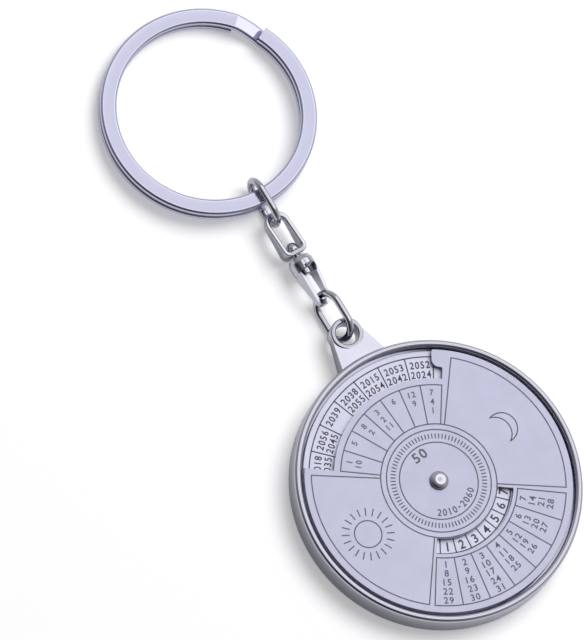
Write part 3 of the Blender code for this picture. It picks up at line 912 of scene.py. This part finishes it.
def coil_tree():
    """Geometry Nodes tree: flat wire wound in turns that lie on each other, with one even step."""
    tree, identifiers, given = new_tree(
        "flat_wire_coil", Points="Int", Start_Angle="Float", End_Angle="Float", Step_Start="Float",
        Step_End="Float", Radius="Float", Rise="Float", Band_Width="Float", Wire_Thickness="Float",
        Corner_Radius="Float", Material="Material")
    number = add_node(tree, "GeometryNodeInputIndex")
    last = add_node(tree, "ShaderNodeMath", {0: given["Points"], 1: 1.0}, operation="SUBTRACT")
    angle = add_node(tree, "ShaderNodeMapRange", {
        "Value": number.outputs["Index"], "From Min": 0.0, "From Max": last.outputs[0],
        "To Min": given["Start Angle"], "To Max": given["End Angle"]})
    half_rise = add_node(tree, "ShaderNodeMath", {0: given["Rise"], 1: 0.5}, operation="MULTIPLY")
    drop = add_node(tree, "ShaderNodeMath", {0: given["Rise"], 1: -0.5}, operation="MULTIPLY")
    height = add_node(tree, "ShaderNodeMapRange", {
        "Value": angle.outputs["Result"], "From Min": given["Step Start"], "From Max": given["Step End"],
        "To Min": half_rise.outputs[0], "To Max": drop.outputs[0]})
    across = []
    for operation in ("COSINE", "SINE"):
        share = add_node(tree, "ShaderNodeMath", {0: angle.outputs["Result"]}, operation=operation)
        across.append(add_node(tree, "ShaderNodeMath", {0: share.outputs[0], 1: given["Radius"]},
                               operation="MULTIPLY").outputs[0])
    spot = add_node(tree, "ShaderNodeCombineXYZ", {
        "X": across[0], "Y": across[1], "Z": height.outputs["Result"]})
    line = add_node(tree, "GeometryNodeMeshLine", {"Count": given["Points"]})
    line = add_node(tree, "GeometryNodeSetPosition", {
        "Geometry": line.outputs["Mesh"], "Position": spot.outputs["Vector"]})
    path = add_node(tree, "GeometryNodeMeshToCurve", {"Mesh": line.outputs["Geometry"]})
    path = add_node(tree, "GeometryNodeSetCurveNormal", {"Curve": path.outputs["Curve"]}, mode="Z_UP")
    section = add_node(tree, "GeometryNodeCurvePrimitiveQuadrilateral", {
        "Width": given["Band Width"], "Height": given["Wire Thickness"]}, mode="RECTANGLE")
    section = add_node(tree, "GeometryNodeFilletCurve", {
        "Curve": section.outputs["Curve"], "Radius": given["Corner Radius"], "Count": 14}, mode="POLY")
    wire = add_node(tree, "GeometryNodeCurveToMesh", {
        "Curve": path.outputs["Curve"], "Profile Curve": section.outputs["Curve"], "Fill Caps": True})
    end_tree(tree, wire.outputs["Mesh"], given["Material"])
    return tree, identifiers


# Flat spring wire, rolled and chrome-plated: a pale lilac mirror, hazier than the chain.
ring_chrome = plated_metal("chrome_plated_spring_steel", "#CFCFE7", roughness=0.12, haze=0.06,
                           scratch_spacing=0.00014)
ring = grown("split_ring_wound", coil_tree(), {
    "Points": 700, "Start Angle": math.radians(26), "End Angle": math.radians(43 - 720),
    "Step Start": math.radians(42 - 360), "Step End": math.radians(25 - 360),
    "Radius": ring_band_radius, "Rise": ring_wire_thickness + ring_turn_gap,
    "Band Width": ring_band_width, "Wire Thickness": ring_wire_thickness,
    "Corner Radius": 0.00044, "Material": ring_chrome})
ring.data.transform(Matrix.Translation(ring_centre)
                    @ Matrix.Rotation(math.radians(-ring_droop), 4, "X"))
hand_over(ring, "ring_body", "split_ring")


# The floor is a wide sheet of white paper on a table, a hair below the case's flat back. It glows
# a little, so that it is plain white to the eye, and keeps the keyring's own soft shadow.
floor_drop = 0.00002
glow_to_camera = 0.3
glow_in_chrome = 0.05
floor_mesh = bmesh.new()
bmesh.ops.create_grid(floor_mesh, x_segments=1, y_segments=1, size=3)
floor_material = bpy.data.materials.new("matt_white_paper")
floor_material.use_nodes = True
floor_tree = floor_material.node_tree
floor_seen = add_node(floor_tree, "ShaderNodeLightPath").outputs
floor_in_chrome = add_node(floor_tree, "ShaderNodeMath", {
    0: floor_seen["Is Glossy Ray"], 1: glow_in_chrome}, operation="MULTIPLY")
floor_glow = add_node(floor_tree, "ShaderNodeMath", {
    0: floor_seen["Is Camera Ray"], 1: glow_to_camera, 2: floor_in_chrome.outputs[0]},
    operation="MULTIPLY_ADD")
feed(floor_tree, floor_tree.nodes["Principled BSDF"], {
    "Base Color": linear("#F7F7F9"), "Roughness": 0.9, "Specular IOR Level": 0,
    "Emission Color": linear("#FFFFFF"), "Emission Strength": floor_glow.outputs[0]})
floor = new_piece("floor", floor_mesh, floor_material)
floor.location = (0, 0, -floor_drop)

# A dark studio with one large soft box overhead, a little beyond the keyring, so that chrome is
# white on top and dark on the sides towards the viewer. The box is softer in its middle, and the
# room's walls are paler low down, by the white table. Other surfaces get one plain level of light.
box_place = (0.385, 0.108, 0)
box_edge = (0.57, 0.45)
box_strength = 1.5
middle_place = (0.325, 0.151, 0)
middle_edge = (0.13, 0.26)
middle_strength = 0.66
far_from_viewer = (0.906, 0.423, 0)
wall_spread = (-0.7, 0.35)
near_wall = 0.03
far_wall = 0.55
low_wall_heights = (0.1, 0.36)
low_wall = 0.3
room_light = 0.22
world = bpy.data.worlds.new("studio")
bpy.context.scene.world = world
world.use_nodes = True
room = world.node_tree
direction = add_node(room, "ShaderNodeTexCoord").outputs["Generated"]
from_above = add_node(room, "ShaderNodeVectorMath", {0: direction, 1: (1, 1, 0)},
                      operation="MULTIPLY").outputs["Vector"]


def graded(vector, place, measure, ends, levels, kind="LINEAR"):
    """A level that changes between two distances from a place, or two heights towards it."""
    away = add_node(room, "ShaderNodeVectorMath", {0: vector, 1: place}, operation=measure)
    return add_node(room, "ShaderNodeMapRange", {
        "Value": away.outputs["Value"], "From Min": ends[0], "From Max": ends[1],
        "To Min": levels[0], "To Max": levels[1]}, interpolation_type=kind).outputs["Result"]


box = graded(from_above, box_place, "DISTANCE", box_edge, (0, box_strength), "SMOOTHSTEP")
middle_share = graded(from_above, middle_place, "DISTANCE", middle_edge, (middle_strength, 1),
                      "SMOOTHSTEP")
box_light = add_node(room, "ShaderNodeMath", {0: box, 1: middle_share}, operation="MULTIPLY")
walls = graded(direction, far_from_viewer, "DOT_PRODUCT", wall_spread, (near_wall, far_wall))
low_walls = graded(direction, (0, 0, 1), "DOT_PRODUCT", low_wall_heights, (low_wall, 0))
lit_walls = add_node(room, "ShaderNodeMath", {0: low_walls, 1: walls}, operation="MAXIMUM")
in_chrome = add_node(room, "ShaderNodeMath", {0: box_light.outputs["Value"], 1: lit_walls.outputs["Value"]},
                     operation="MAXIMUM")
seen = add_node(room, "ShaderNodeLightPath").outputs
lit = add_node(room, "ShaderNodeMix", {
    "Factor": seen["Is Glossy Ray"], "A": room_light, "B": in_chrome.outputs["Value"]},
    data_type="FLOAT")
level = add_node(room, "ShaderNodeMix", {
    "Factor": seen["Is Camera Ray"], "A": lit.outputs["Result"], "B": 1.0}, data_type="FLOAT")
feed(room, room.nodes["Background"], {
    "Color": linear("#FFFFFF"), "Strength": level.outputs["Result"]})

# The same soft box as a lamp for the floor and the inks. The metals see it in the room instead. It
# hangs a metre away, 26 degrees from straight overhead.
lamp_fall = math.radians(26)
lamp_side = 20
soft_box = bpy.data.lights.new("soft_box", "AREA")
soft_box.shape = "DISK"
soft_box.size = 0.7
soft_box.energy = 6.8
soft_box_stand = bpy.data.objects.new("soft_box", soft_box)
bpy.context.scene.collection.objects.link(soft_box_stand)
soft_box_stand.location = (*polar(math.sin(lamp_fall), lamp_side), math.cos(lamp_fall))
soft_box_stand.rotation_euler = soft_box_stand.location.to_track_quat("Z", "Y").to_euler()
soft_box_stand.visible_glossy = False

# The camera looks down on the keyring from a long way off, over the left of the case. It is turned
# about its own axis, and aimed so that the dial's centre falls on its place in the picture.
picture_width = 584
picture_height = 640
dial_across = 438.9
dial_down = 480.75
tilt = math.radians(21.18)
lean = math.radians(205.18)
roll = math.radians(145.1)
pixels_per_metre = 7392
camera_distance = 3
towards = Vector((math.sin(tilt) * math.cos(lean), math.sin(tilt) * math.sin(lean), math.cos(tilt)))
level_axis = Vector((math.cos(lean - math.pi / 2), math.sin(lean - math.pi / 2), 0))
fall_axis = towards.cross(level_axis)
camera_right = math.cos(roll) * level_axis - math.sin(roll) * fall_axis
camera_up = math.sin(roll) * level_axis + math.cos(roll) * fall_axis
dial_centre = Vector((0, 0, dial_high))
aim = dial_centre - (camera_right * (dial_across - picture_width / 2)
                     - camera_up * (dial_down - picture_height / 2)) / pixels_per_metre
camera_data = bpy.data.cameras.new("camera")
camera_data.sensor_width = 36
camera_data.lens = camera_data.sensor_width * pixels_per_metre * camera_distance / picture_height
camera_data.clip_end = 20
camera = bpy.data.objects.new("camera", camera_data)
bpy.context.scene.collection.objects.link(camera)
camera.matrix_world = Matrix((
    (camera_right.x, camera_up.x, towards.x, 0), (camera_right.y, camera_up.y, towards.y, 0),
    (camera_right.z, camera_up.z, towards.z, 0), (0, 0, 0, 1)))
camera.location = aim + towards * camera_distance
bpy.context.scene.camera = camera
bpy.context.scene.view_settings.view_transform = "Standard"
